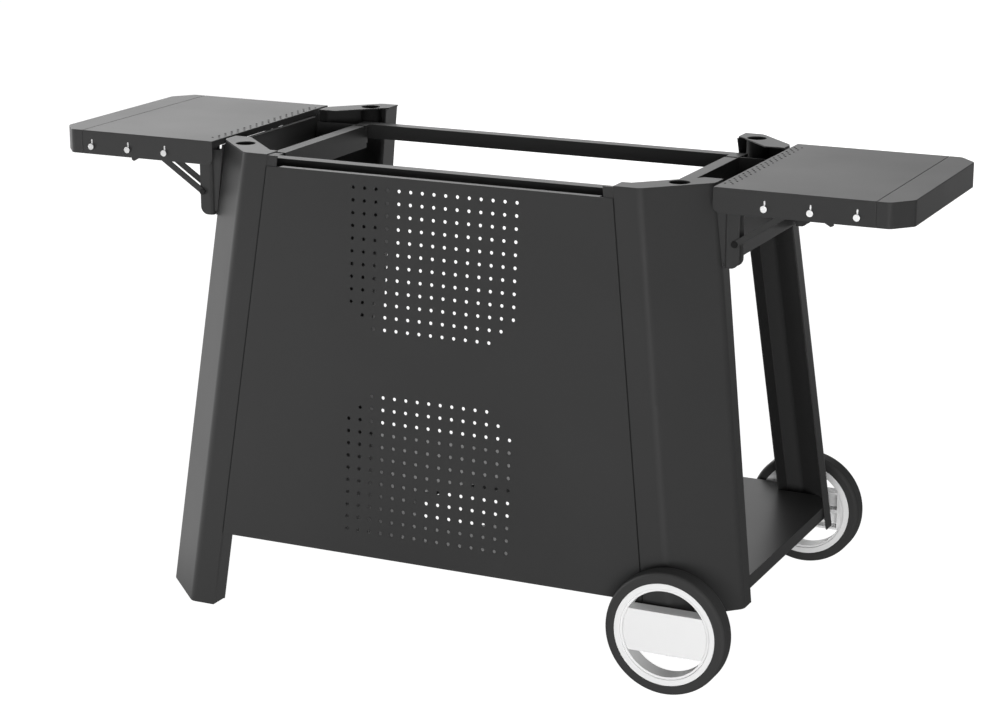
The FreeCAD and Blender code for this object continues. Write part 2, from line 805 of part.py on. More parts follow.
def hanger():
    # Angle under the lower shelf carrying the axle, front side
    top = tray_top - tray_sheet
    low = tyre_radius - hanger_drop
    x0 = wheel_x - hanger_width / 2.0
    x1 = wheel_x + hanger_width / 2.0
    plate = box(x0, x1, -hanger_y, -hanger_y + hanger_sheet, low, top)
    flange = box(x0, x1, -hanger_y, -hanger_y + hanger_flange, top - hanger_sheet, top)
    lower = [e for e in plate.Edges if abs(e.CenterOfMass.z - low) < 0.01
             and abs(e.Vertexes[0].X - e.Vertexes[-1].X) < 0.01]
    plate = plate.makeFillet(hanger_corner, lower)
    body = plate.fuse(flange).removeSplitter()
    return cleaned(body.cut(rod_y(wheel_x, tyre_radius, axle_radius, -wheel_out_y, 0)))


def ring_y(inner, outer, y0, y1):
    return rod_y(wheel_x, tyre_radius, outer, y0, y1).cut(rod_y(wheel_x, tyre_radius, inner, y0 - 1, y1 + 1))


# Fixings

def hexagon(centre, direction, across, height):
    # Upright hexagonal nut body along a direction
    axis = V(direction)
    axis.normalize()
    side = axis.cross(V(0, 0, 1)) if abs(axis.z) < 0.9 else V(1, 0, 0)
    side.normalize()
    up = axis.cross(side)
    radius = across / math.sqrt(3.0)
    points = []
    for i in range(6):
        a = math.radians(60 * i)
        points.append(centre + side * (radius * math.cos(a)) + up * (radius * math.sin(a)))
    return Part.Face(Part.makePolygon(points + [points[0]])).extrude(axis * height)


def stud_axis(x_sign, z):
    normal = V(0, 1, -splay_y)
    normal.normalize()
    return on_panel(x_sign * (leg_tongue_in + stud_edge + splay_x * (top_height - z)), z), normal


def panel_nut(x_sign, z):
    # Stud from the panel through the leg tongue with a nut behind it
    point, normal = stud_axis(x_sign, z)
    seat = point + V(0, leg_joggle + sheet, 0)
    start = point + normal * panel_sheet
    stud = Part.makeCylinder(bolt_radius, (seat - start).dot(normal) + nut_height + stud_end, start, normal)
    return cleaned(stud.fuse(hexagon(seat, normal, nut_across, nut_height)).removeSplitter())


def stud_hole(x_sign, z):
    point, normal = stud_axis(x_sign, z)
    return Part.makeCylinder(bolt_radius, 20.0, point, normal)


def apron_normal():
    normal = V(1, 0, splay_x)
    normal.normalize()
    return normal


def bolt_y(end_edge, z):
    # Just inside the free edge of the leg's end flange at height z
    return end_edge + bolt_edge + splay_y * (top_height - z)


def apron_bolt(y, z):
    # Dome head outside the apron, nut inside the leg flange
    normal = apron_normal()
    outer = V(apron_face_x(z), y, z)
    grip = (apron_sheet + sheet) / math.sqrt(1 + splay_x ** 2)
    head = Part.makeCylinder(bolt_head_radius, bolt_head, outer, normal)
    crown = [e for e in head.Edges if e.Closed and (e.CenterOfMass - outer).dot(normal) > bolt_head / 2.0]
    head = head.makeFillet(bolt_head * 0.6, crown)
    shank = Part.makeCylinder(bolt_radius, grip + nut_height + stud_end, outer, normal * -1.0)
    nut = hexagon(outer - normal * grip, normal * -1.0, nut_across, nut_height)
    return cleaned(head.fuse([shank, nut]).removeSplitter())


def apron_stud(y, z):
    # Stud from the bracket's seat through the apron, nut inside the leg flange
    normal = apron_normal()
    outer = V(apron_face_x(z), y, z)
    grip = (apron_sheet + sheet) / math.sqrt(1 + splay_x ** 2)
    shank = Part.makeCylinder(bolt_radius, grip + nut_height + stud_end, outer, normal * -1.0)
    nut = hexagon(outer - normal * grip, normal * -1.0, nut_across, nut_height)
    return cleaned(shank.fuse(nut).removeSplitter())


def apron_bolt_hole(y, z):
    normal = apron_normal()
    return Part.makeCylinder(bolt_radius, 30.0, V(apron_face_x(z), y, z) + normal * 10.0, normal * -1.0)


def plug():
    # Push-in end plug of the front rail, right end: a flat head and a hollow body inside the tube
    y0 = -frame_half_y
    y1 = y0 + rail_width
    z0 = frame_top - rail_height
    head = box(frame_half_x, frame_half_x + plug_head, y0, y1, z0, frame_top)
    body = box(frame_half_x - plug_depth, frame_half_x, y0 + rail_wall, y1 - rail_wall,
               z0 + rail_wall, frame_top - rail_wall)
    wall = rail_wall + plug_wall
    hollow = box(frame_half_x - plug_depth - 1, frame_half_x - plug_wall, y0 + wall, y1 - wall,
                 z0 + wall, frame_top - wall)
    return cleaned(head.fuse(body.cut(hollow)).removeSplitter())


def corners(name, front, rear):
    # One piece per corner, both drawn at the front right
    return {name + "_front_right": front, name + "_rear_right": mirrored_y(rear),
            name + "_front_left": mirrored_x(front), name + "_rear_left": mirrored_x(mirrored_y(rear))}


def all_corners(name, shape):
    return corners(name, shape, shape)


def opposite_corners(name, far, near):
    # One end is the other turned half round, so the opposite corners match
    return {name + "_front_right": far, name + "_rear_right": mirrored_y(near),
            name + "_front_left": mirrored_x(near), name + "_rear_left": mirrored_x(mirrored_y(far))}


def group(shapes):
    return Part.makeCompound(shapes)


def four(shape):
    return [shape, mirrored_y(shape), mirrored_x(shape), mirrored_x(mirrored_y(shape))]


def base_frame():
    parts = {}
    front_right = wheel_leg(front_section())
    rear_right = mirrored_y(wheel_leg(rear_section()))
    legs = {"front_right": front_right, "rear_right": rear_right,
            "front_left": mirrored_x(standing_leg(front_section())),
            "rear_left": mirrored_x(mirrored_y(standing_leg(rear_section())))}
    heights = [top_height - drop for drop in bolt_drops]
    front_places = [(-bolt_y(leg_end_edge, z), z) for z in heights]
    rear_places = [(bracket_y, z) for z in heights]
    nut_places = [(side, top_height - drop) for side in (-1, 1) for drop in nut_drops]
    holes = group([apron_bolt_hole(y, z) for y, z in front_places + rear_places])
    studs = group([stud_hole(side, z) for side, z in nut_places])
    for name, leg in legs.items():
        leg = leg.cut(holes if "right" in name else mirrored_x(holes))
        parts["leg_" + name] = cleaned(leg.cut(studs) if "front" in name else leg)
    parts.update(corners("leg_cap", front_cap(), rear_cap()))
    parts["front_panel"] = panel()
    parts["panel_nuts"] = group([panel_nut(side, z) for side, z in nut_places])
    right_apron = cleaned(apron().cut(holes))
    parts["apron_right"] = right_apron
    parts["apron_left"] = mirrored_x(right_apron)
    bolts = [apron_bolt(y, z) for y, z in front_places] + [apron_stud(y, z) for y, z in rear_places]
    parts["apron_bolts"] = group(bolts + [mirrored_x(b) for b in bolts])
    parts["lower_shelf"] = tray()
    return parts


def oven_frame():
    front = tube_x(-frame_half_x, frame_half_x, -frame_half_y, -frame_half_y + rail_width)
    right = side_rail()
    parts = {"frame_rail_front": front, "frame_rail_rear": mirrored_y(front),
             "frame_rail_right": right, "frame_rail_left": mirrored_x(right)}
    parts["frame_plugs"] = group(four(plug()))
    parts.update(all_corners("frame_ear", ear()))
    return parts


def side_shelves():
    right = shelf()
    end = end_rail()
    parts = {"shelf_right": right, "shelf_left": turned(right),
             "shelf_end_right": end, "shelf_end_left": mirrored_x(end)}
    parts.update(all_corners("bracket_channel", at_bracket(channel())))
    parts.update(opposite_corners("bracket_arm", at_bracket(arm(lever_far_x)), at_bracket(arm(lever_near_x))))
    parts.update(all_corners("bracket_strut", at_bracket(strut())))
    parts.update(opposite_corners("release_lever", at_bracket(lever(lever_far_x)),
                                  at_bracket(lever(lever_near_x))))
    hinge = at_bracket(pivot_pin(pivot_x, pivot_z, arm_out_y + lever_gap))
    parts["hinge_pins"] = group(four(hinge))
    foot = at_bracket(pivot_pin(strut_x, strut_z, bar_out + lever_gap))
    parts["strut_pins"] = group(four(foot))
    pins = [at_bracket(lever_pin(lever_far_x)), mirrored_y(at_bracket(lever_pin(lever_near_x)))]
    parts["lever_pins_right"] = group(pins)
    parts["lever_pins_left"] = group([turned(p) for p in pins])
    hooks = [tool_hook(x) for x in hook_places(hook_front_back)]
    hooks += [mirrored_y(tool_hook(x)) for x in hook_places(hook_rear_back)]
    parts["tool_hooks_right"] = group(hooks)
    parts["tool_hooks_left"] = group([turned(h) for h in hooks])
    return parts


def wheel_set():
    front_rim = rim()
    front_tyre = tyre()
    front_hanger = hanger()
    parts = {"wheel_rim_front": front_rim, "wheel_rim_rear": mirrored_y(front_rim),
             "wheel_tyre_front": front_tyre, "wheel_tyre_rear": mirrored_y(front_tyre),
             "axle": axle(), "axle_hanger_front": front_hanger, "axle_hanger_rear": mirrored_y(front_hanger)}
    end = hub_face() - side_play
    sleeve = ring_y(axle_radius, sleeve_radius, -(end - washer), -hanger_y)
    disc = ring_y(axle_radius, washer_radius, -end, -(end - washer))
    parts["axle_sleeves"] = group([sleeve, mirrored_y(sleeve)])
    parts["axle_washers"] = group([disc, mirrored_y(disc)])
    return parts


def build():
    parts = {}
    for section in (base_frame(), oven_frame(), side_shelves(), wheel_set()):
        parts.update(section)
    return parts


os.makedirs("parts", exist_ok=True)
for part_name, part_shape in build().items():
    if not part_shape.isValid() or not part_shape.Solids:
        print("bad shape", part_name)
    part_shape.exportStep("parts/" + part_name + ".step")
    bounds = part_shape.BoundBox
    low_corner = [round(v, 1) for v in (bounds.XMin, bounds.YMin, bounds.ZMin)]
    high_corner = [round(v, 1) for v in (bounds.XMax, bounds.YMax, bounds.ZMax)]
    print(part_name, len(part_shape.Solids), round(part_shape.Volume / 1000.0, 1), low_corner, high_corner)
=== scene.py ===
# %% [markdown]
# # A pizza oven table, dressed in Blender
# The solids of this table come from a CAD model and are already in the right place. This lesson
# loads them, gives every sheet, tube, wheel and pin the surface of the real thing, and adds the
# small shapes that a CAD file leaves out. Lengths are in metres, Z is up, and the front panel
# faces minus Y.

# %% Load the solids
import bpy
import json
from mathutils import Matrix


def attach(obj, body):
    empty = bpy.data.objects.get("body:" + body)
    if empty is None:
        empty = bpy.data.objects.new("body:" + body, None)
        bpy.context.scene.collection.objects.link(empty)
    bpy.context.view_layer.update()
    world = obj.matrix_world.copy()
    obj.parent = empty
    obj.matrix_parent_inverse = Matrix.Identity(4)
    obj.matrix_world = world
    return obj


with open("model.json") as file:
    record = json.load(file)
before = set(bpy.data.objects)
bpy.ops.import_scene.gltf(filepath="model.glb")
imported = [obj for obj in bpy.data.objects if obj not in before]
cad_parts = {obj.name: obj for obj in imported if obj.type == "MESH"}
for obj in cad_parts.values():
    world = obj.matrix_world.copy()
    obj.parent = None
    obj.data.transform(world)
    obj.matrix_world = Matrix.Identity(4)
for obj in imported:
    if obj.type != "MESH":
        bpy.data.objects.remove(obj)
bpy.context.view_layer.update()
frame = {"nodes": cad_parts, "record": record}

# %% [markdown]
# ## Tools for the lesson
# Few modules are needed: bpy is Blender itself, bmesh edits a mesh in code, mathutils has its
# vectors, math has the angles, and json is imported as well. MM turns a size read off a drawing
# into metres, so that the sizes below stay readable.

# %% Modules and the size unit
import json
import math

import bmesh
import bpy
from mathutils import Vector

MM = 0.001
scene = bpy.context.scene
print("modules ready")

# %% [markdown]
# ## Colours
# Paint charts and photographs give colours as sRGB hex values, but a render adds up light, which
# needs linear values. One function does the turning, so each colour is written once, as hex.

# %% Hex to linear colour
def linear(hex_colour):
    channels = [int(hex_colour[i:i + 2], 16) / 255.0 for i in (1, 3, 5)]
    # The sRGB curve is a short straight toe, then a power. The last 1.0 is the alpha channel.
    return [c / 12.92 if c <= 0.04045 else ((c + 0.055) / 1.055) ** 2.4 for c in channels] + [1.0]


print("mid grey in linear light:", round(linear("#808080")[0], 3))

# %% [markdown]
# ## Adding nodes
# A material is a small graph of nodes. Adding one by hand in the editor means choosing its type,
# setting its fields and dragging its links. This helper does the same three things for any node,
# so each material below reads as a list of its nodes.

# %% One helper for every node
def add(tree, kind, fields=None, values=None, links=None):
    node = tree.nodes.new(kind)
    for name, value in (fields or {}).items():
        setattr(node, name, value)
    for name, value in (values or {}).items():
        node.inputs[name].default_value = value
    for name, source in (links or {}).items():
        tree.links.new(source, node.inputs[name])
    return node


def new_material(name):
    material = bpy.data.materials.new(name)
    material.use_nodes = True
    material.node_tree.nodes.clear()
    return material, material.node_tree


def finish_material(tree, shader):
    add(tree, "ShaderNodeOutputMaterial", links={"Surface": shader.outputs[0]})


print("helpers ready")

# %% [markdown]
# ## Satin powder coat
# The sheets and tubes are steel, sprayed with dry anthracite paint powder that is melted on in an
# oven. The paint flows together into a tough satin skin. Close up it has a fine orange peel, with
# bumps about a millimetre apart, and its gloss drifts a little over a large sheet. It rounds off
# every cut edge, so the normal is softened there by the width of the paint film and the burr-free
# edge below it.

# %% The paint on all sheets and tubes
PEEL = 1.1 * MM
PEEL_DEPTH = 0.05 * MM
DRIFT = 160 * MM
TINT_DRIFT = 0.07
COATED_EDGE = 0.7 * MM


def powder_coat(name, colour, gloss_low, gloss_high):
    material, tree = new_material(name)
    place = add(tree, "ShaderNodeTexCoord")
    peel = add(tree, "ShaderNodeTexNoise",
               values={"Scale": 1.0 / PEEL, "Detail": 2.0, "Roughness": 0.5},
               links={"Vector": place.outputs["Object"]})
    drift = add(tree, "ShaderNodeTexNoise", values={"Scale": 1.0 / DRIFT, "Detail": 3.0},
                links={"Vector": place.outputs["Object"]})
    rough = add(tree, "ShaderNodeMapRange", values={"To Min": gloss_low, "To Max": gloss_high},
                links={"Value": drift.outputs["Fac"]})
    tint = add(tree, "ShaderNodeMapRange",
               values={"To Min": 1.0 - TINT_DRIFT, "To Max": 1.0 + TINT_DRIFT},
               links={"Value": drift.outputs["Fac"]})
    shade = add(tree, "ShaderNodeVectorMath", fields={"operation": "SCALE"},
                values={"Vector": linear(colour)[:3]}, links={"Scale": tint.outputs["Result"]})
    edge = add(tree, "ShaderNodeBevel", fields={"samples": 4}, values={"Radius": COATED_EDGE})
    bump = add(tree, "ShaderNodeBump", values={"Strength": 0.10, "Distance": PEEL_DEPTH},
               links={"Height": peel.outputs["Fac"], "Normal": edge.outputs["Normal"]})
    shader = add(tree, "ShaderNodeBsdfPrincipled", values={"IOR": 1.5},
                 links={"Base Color": shade.outputs["Vector"],
                        "Roughness": rough.outputs["Result"], "Normal": bump.outputs["Normal"]})
    finish_material(tree, shader)
    return material


anthracite = powder_coat("satin_anthracite_powder_coat", "#323232", 0.34, 0.42)
print("made", anthracite.name)

# %% [markdown]
# ## Silver plastic
# The wheels are moulded in a silver pigmented plastic. Flakes far too fine to see give it a pale,
# soft sheen without a mirror, so it is made as a plastic and not as a metal. A little roughness
# drift is all that a moulded face shows.

# %% The plastic of the wheels
GLOSS_DRIFT = 0.04
MOULDED_EDGE = 0.8 * MM


def moulded_plastic(name, colour, roughness, grain, depth):
    material, tree = new_material(name)
    place = add(tree, "ShaderNodeTexCoord")
    texture = add(tree, "ShaderNodeTexNoise", values={"Scale": 1.0 / grain, "Detail": 2.0},
                  links={"Vector": place.outputs["Object"]})
    rough = add(tree, "ShaderNodeMapRange",
                values={"To Min": roughness - GLOSS_DRIFT, "To Max": roughness + GLOSS_DRIFT},
                links={"Value": texture.outputs["Fac"]})
    edge = add(tree, "ShaderNodeBevel", fields={"samples": 4}, values={"Radius": MOULDED_EDGE})
    bump = add(tree, "ShaderNodeBump", values={"Strength": 0.12, "Distance": depth},
               links={"Height": texture.outputs["Fac"], "Normal": edge.outputs["Normal"]})
    shader = add(tree, "ShaderNodeBsdfPrincipled",
                 values={"Base Color": linear(colour), "IOR": 1.48},
                 links={"Roughness": rough.outputs["Result"], "Normal": bump.outputs["Normal"]})
    finish_material(tree, shader)
    return material


silver = moulded_plastic("silver_moulded_plastic", "#d9d9d9", 0.34, 2.0 * MM, 0.02 * MM)
# This black serves the plugs, and also as painted shade in the strips beside the panel and the cups
# under the caps.
plug_and_shade_black = moulded_plastic("black_plug_plastic_and_painted_shade", "#181818", 0.5, 0.8 * MM, 0.05 * MM)
print("made", silver.name, "and", plug_and_shade_black.name)

# %% [markdown]
# ## Tyre rubber
# The tyres are solid rubber. Moulded rubber is nearly black, matt on the tread and slightly
# smoother on the shoulders.

# %% The rubber of the tyres
rubber = moulded_plastic("black_tyre_rubber", "#343434", 0.44, 1.5 * MM, 0.06 * MM)
print("made", rubber.name)

# %% [markdown]
# ## Zinc plate
# The axle, its sleeves and washers, the nuts and the bolts are steel with a bright zinc plate: a
# cool grey metal, fairly rough, with faint blotches from the plating bath. A metal takes its colour
# from its reflection, so metallic is 1. The pins of the folding brackets are blackened steel. Their
# skin is a dark oxide that hides the metal, so it is made like a plastic, without metallic.

# %% The plate on axle, nuts and bolts, and the black pins
BLOTCH = 6 * MM
PLATED_EDGE = 0.3 * MM


def zinc_plate():
    material, tree = new_material("bright_zinc_plate")
    place = add(tree, "ShaderNodeTexCoord")
    blotch = add(tree, "ShaderNodeTexNoise", values={"Scale": 1.0 / BLOTCH, "Detail": 3.0},
                 links={"Vector": place.outputs["Object"]})
    rough = add(tree, "ShaderNodeMapRange", values={"To Min": 0.28, "To Max": 0.46},
                links={"Value": blotch.outputs["Fac"]})
    edge = add(tree, "ShaderNodeBevel", fields={"samples": 4}, values={"Radius": PLATED_EDGE})
    shader = add(tree, "ShaderNodeBsdfPrincipled",
                 values={"Base Color": linear("#b9bcc0"), "Metallic": 1.0},
                 links={"Roughness": rough.outputs["Result"], "Normal": edge.outputs["Normal"]})
    finish_material(tree, shader)
    return material


zinc = zinc_plate()
blackened = moulded_plastic("black_passivated_steel", "#161616", 0.42, 1.2 * MM, 0.02 * MM)
print("made", zinc.name, "and", blackened.name)

# %% [markdown]
# ## Which finish goes where
# The record names a material slot for every solid. Reading it keeps the lesson short: each solid
# takes the finish of its slot, and no list of solids has to be typed again.

# %% Give every solid its finish
FINISHES = {"powder_coated_steel": anthracite, "silver_plastic": silver, "tyre_rubber": rubber,
            "zinc_plated_steel": zinc, "blackened_steel": blackened, "plug_plastic": plug_and_shade_black}
slot_of = {row["node"]: row["material_slot"] for row in frame["record"]["subparts"]}
for name, solid in frame["nodes"].items():
    solid.data.materials.clear()
    solid.data.materials.append(FINISHES[slot_of[name]])
print("finished", len(slot_of), "solids with", len(FINISHES), "materials")

# %% [markdown]
# ## Rims of the punched holes
# A punch drags the sheet down a little, and the powder coat gathers on the sharp edge, so every
# hole in the panel and every vent in the shelves wears a fine round rim. There are hundreds, all
# alike, on a regular grid. That is work for Geometry Nodes: one small ring is set on every point
# of a cloud of points, turned to face the way the sheet faces, made real and painted.

# %% The tree that sets one ring on every point
RING_STEPS = 12
BEAD_STEPS = 4


def rim_tree():
    tree = bpy.data.node_groups.new("punched_rims", "GeometryNodeTree")
    sockets = (("Centres", "NodeSocketGeometry"), ("Hole Radius", "NodeSocketFloat"),
               ("Bead Radius", "NodeSocketFloat"), ("Facing", "NodeSocketVector"),
               ("Paint", "NodeSocketMaterial"))
    for name, kind in sockets:
        tree.interface.new_socket(name, in_out="INPUT", socket_type=kind)
    tree.interface.new_socket("Rims", in_out="OUTPUT", socket_type="NodeSocketGeometry")
    source = add(tree, "NodeGroupInput")
    path = add(tree, "GeometryNodeCurvePrimitiveCircle", values={"Resolution": RING_STEPS},
               links={"Radius": source.outputs["Hole Radius"]})
    section = add(tree, "GeometryNodeCurvePrimitiveCircle", values={"Resolution": BEAD_STEPS},
                  links={"Radius": source.outputs["Bead Radius"]})
    ring = add(tree, "GeometryNodeCurveToMesh",
               links={"Curve": path.outputs["Curve"], "Profile Curve": section.outputs["Curve"]})
    turn = add(tree, "FunctionNodeAlignRotationToVector", fields={"axis": "Z"},
               links={"Vector": source.outputs["Facing"]})
    placed = add(tree, "GeometryNodeInstanceOnPoints",
                 links={"Points": source.outputs["Centres"], "Instance": ring.outputs["Mesh"],
                        "Rotation": turn.outputs["Rotation"]})
    real = add(tree, "GeometryNodeRealizeInstances",
               links={"Geometry": placed.outputs["Instances"]})
    painted = add(tree, "GeometryNodeSetMaterial",
                  links={"Geometry": real.outputs["Geometry"],
                         "Material": source.outputs["Paint"]})
    add(tree, "NodeGroupOutput", links={"Rims": painted.outputs["Geometry"]})
    return tree


rims = rim_tree()
print("tree", rims.name, "has", len(rims.nodes), "nodes")

# %% From a cloud of points to a plain mesh
def socket_key(tree, name):
    for item in tree.interface.items_tree:
        if item.item_type == "SOCKET" and item.in_out == "INPUT" and item.name == name:
            return item.identifier


def rims_piece(name, centres, hole_radius, bead, facing, body):
    cloud = bpy.data.meshes.new(name + "_centres")
    cloud.from_pydata(centres, [], [])
    holder = bpy.data.objects.new(name + "_centres", cloud)
    scene.collection.objects.link(holder)
    modifier = holder.modifiers.new("rims", "NODES")
    modifier.node_group = rims
    modifier[socket_key(rims, "Hole Radius")] = hole_radius
    modifier[socket_key(rims, "Bead Radius")] = bead
    modifier[socket_key(rims, "Facing")] = facing
    modifier[socket_key(rims, "Paint")] = anthracite
    bpy.context.view_layer.update()
    ready = holder.evaluated_get(bpy.context.evaluated_depsgraph_get())
    mesh = bpy.data.meshes.new_from_object(ready)
    holder.modifiers.remove(modifier)
    bpy.data.objects.remove(holder)
    piece = bpy.data.objects.new(name, mesh)
    scene.collection.objects.link(piece)
    for face in mesh.polygons:
        face.use_smooth = True
    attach(piece, body)
    return piece


print("rims are made by one function")

# %% [markdown]
# ## The panel's two fields of holes
# The panel leans, so its rows follow the slope of the sheet: the pitch is 20 mm along the sheet,
# and the height falls by a little less. The two fields mirror each other, and each loses its
# corners towards the plain band between them. Rows are counted from the top, and the second field
# starts 16.397 pitches below the first row.

# %% Rims on the front panel
LEAN = 0.0715
TABLE_TOP = 751.0 * MM
PANEL_TOP_Y = -250.0 * MM
PITCH = 20.0 * MM
COLUMNS = 15
ROWS = 12
FIRST_ROW = TABLE_TOP - 38.8 * MM
SECOND_FIELD = 16.397
CORNER_CUT = 2
HOLE_RIM = 3.1 * MM
HOLE_BEAD = 0.3 * MM


def panel_hole_centres():
    fall = PITCH * math.cos(math.atan(LEAN))
    centres = []
    for column in range(COLUMNS):
        x = (column - (COLUMNS - 1) / 2.0) * PITCH
        cut = max(0, CORNER_CUT - min(column, COLUMNS - 1 - column))
        rows = list(range(ROWS - cut)) + [SECOND_FIELD + row for row in range(cut, ROWS)]
        for row in rows:
            z = FIRST_ROW - row * fall
            centres.append((x, PANEL_TOP_Y - LEAN * (TABLE_TOP - z), z))
    return centres


panel_holes = panel_hole_centres()
panel_rims = rims_piece("panel_hole_rims", panel_holes, HOLE_RIM, HOLE_BEAD,
                        Vector((0.0, -1.0, LEAN)), "table_frame")
print(len(panel_holes), "holes,", len(panel_rims.data.polygons), "faces")

# %% [markdown]
# ## The shelves' vents
# Three rows of small vents run along the inner edge of each shelf, the middle row shifted by half
# a pitch. The two shelves are the same piece turned half round, so the left one takes the same
# points with both signs changed.

# %% Rims on the shelf vents
VENT_PITCH = 20.0 * MM
VENT_ROW = 6.0 * MM
VENT_FIRST_X = 437.5 * MM
VENT_FIRST_Y = -160.0 * MM
VENT_ROWS = 3
VENTS_IN_ROW = 17
VENT_RIM = 1.9 * MM
VENT_BEAD = 0.2 * MM


def vent_centres(turn):
    centres = []
    for row in range(VENT_ROWS):
        x = VENT_FIRST_X + row * VENT_ROW
        shifted = row % 2
        for i in range(VENTS_IN_ROW - shifted):
            y = VENT_FIRST_Y + (i + shifted / 2.0) * VENT_PITCH
            centres.append((turn * x, turn * y, TABLE_TOP))
    return centres


for side, turn in (("right", 1.0), ("left", -1.0)):
    piece = rims_piece("vent_rims_" + side, vent_centres(turn), VENT_RIM, VENT_BEAD,
                       Vector((0.0, 0.0, 1.0)), "side_shelf_" + side)
    print(piece.name, len(piece.data.polygons), "faces")

# %% [markdown]
# ## Painted shade beside the panel
# A black strip fills the groove between the panel and the leg on each side. It is painted shade:
# its black stands in for the deep shadow in the groove, and it is the fine black line along the
# panel. Its section is a small triangle, given as distances from the middle and depths behind the
# panel's face, in millimetres. It is drawn at the top of the panel and again at its foot, further
# out and further forward, as the table widens downwards.

# %% From a drawing to a black piece
def drawn_piece(name, drawing):
    bmesh.ops.recalc_face_normals(drawing, faces=drawing.faces)
    mesh = bpy.data.meshes.new(name)
    drawing.to_mesh(mesh)
    drawing.free()
    piece = bpy.data.objects.new(name, mesh)
    scene.collection.objects.link(piece)
    # Every drawn piece takes this black, as painted shade.
    mesh.materials.append(plug_and_shade_black)
    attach(piece, "table_frame")
    return piece


print("drawings are made pieces by one function")

# %% Two black strips of painted shade
SPLAY = 0.1215
PANEL_TOP = TABLE_TOP - 18.5 * MM
PANEL_FOOT = 124.0 * MM
SHADE_STRIP_SECTION = ((292.9, 1.9), (294.8, 0.1), (292.9, 0.7))


def shade_strip_corner(x, depth, z):
    drop = TABLE_TOP - z
    return (x * MM + SPLAY * drop, PANEL_TOP_Y - LEAN * drop + depth * MM, z)


def make_painted_shade_strips():
    drawing = bmesh.new()
    for side in (1.0, -1.0):
        rings = []
        for z in (PANEL_TOP, PANEL_FOOT):
            corners = [shade_strip_corner(x, depth, z) for x, depth in SHADE_STRIP_SECTION]
            rings.append([drawing.verts.new((side * x, y, z)) for x, y, z in corners])
        top, foot = rings
        for i in range(len(top)):
            drawing.faces.new((top[i - 1], top[i], foot[i], foot[i - 1]))
        drawing.faces.new(top)
        drawing.faces.new(foot)
    # The black piece drawn here is painted shade in the groove beside the panel.
    return drawn_piece("panel_painted_shade_strips", drawing)


painted_shade_strips = make_painted_shade_strips()
print(painted_shade_strips.name, "has", len(painted_shade_strips.data.polygons), "faces")

# %% [markdown]
# ## Black cups under the caps
# The round hole in each leg cap is closed below by a black cup, which is painted shade: its black
# stands in for the shade inside the leg. A cup is a turned part: half of its section is drawn as a
# line of radii and of heights from the table's top, in millimetres, and the line is swept round in
# steps. Blender's Spin could do it, but the order of its faces changes from run to run. So each
# point of the line is drawn as a ring of its own, and its two ends, which lie on the axis, close
# the shape as single points.

# %% Four black cups of painted shade
SHADE_CUP_SECTION = ((0.0, -29.5), (17.2, -29.5), (17.2, -2.0),
                  (16.0, -2.0), (16.0, -28.0), (0.0, -28.0))
SHADE_CUP_STEPS = 40
FRONT_SHADE_CUP = (373.9 * MM, -181.9 * MM)
REAR_SHADE_CUP = (355.65 * MM, 211.65 * MM)


def turn_section(drawing, section, x, y):
    rings = []
    for radius, height in section[1:-1]:
        ring = []
        for step in range(SHADE_CUP_STEPS):
            angle = math.tau * step / SHADE_CUP_STEPS
            ring.append(drawing.verts.new((x + radius * MM * math.cos(angle),
                                           y + radius * MM * math.sin(angle),
                                           TABLE_TOP + height * MM)))
        rings.append(ring)
    foot = drawing.verts.new((x, y, TABLE_TOP + section[0][1] * MM))
    top = drawing.verts.new((x, y, TABLE_TOP + section[-1][1] * MM))
    for i in range(SHADE_CUP_STEPS):
        drawing.faces.new((foot, rings[0][i - 1], rings[0][i]))
        drawing.faces.new((top, rings[-1][i - 1], rings[-1][i]))
        for one, other in zip(rings, rings[1:]):
            drawing.faces.new((one[i - 1], one[i], other[i], other[i - 1]))


def make_shade_cups():
    drawing = bmesh.new()
    for x, y in (FRONT_SHADE_CUP, REAR_SHADE_CUP):
        for side in (1.0, -1.0):
            turn_section(drawing, SHADE_CUP_SECTION, side * x, y)
    return drawn_piece("cap_shade_cups", drawing)


# The black cups are painted shade inside the holes of the leg caps.
sockets = make_shade_cups()
print(sockets.name, "has", len(sockets.data.polygons), "faces")

# %% [markdown]
# ## The room
# A product picture is taken in a white room. The floor is one large pale sheet. Seen directly it
# should be white, which would take a lot of light, and that light would bleach the table. So the
# floor shows the camera a mix of its lit self and plain white: the soft shadow stays, and the
# light on the table stays at a plain level. A share FLOOR_LIT of the mix is the lit sheet, and the
# rest glows at FLOOR_SEEN, just strong enough to make the whole white. What the satin paint mirrors
# is the same floor, white on the side of the white wall and dim on the other side.

# %% Floor
FLOOR_HALF = 30.0
FLOOR_LIT = 0.22
FLOOR_SEEN = 1.28
WHITE_SIDE = Vector((-0.90, 0.43, 0.0))
DIM_LEVEL = 0.10
FLOOR_FADE = (-0.2, 0.75)


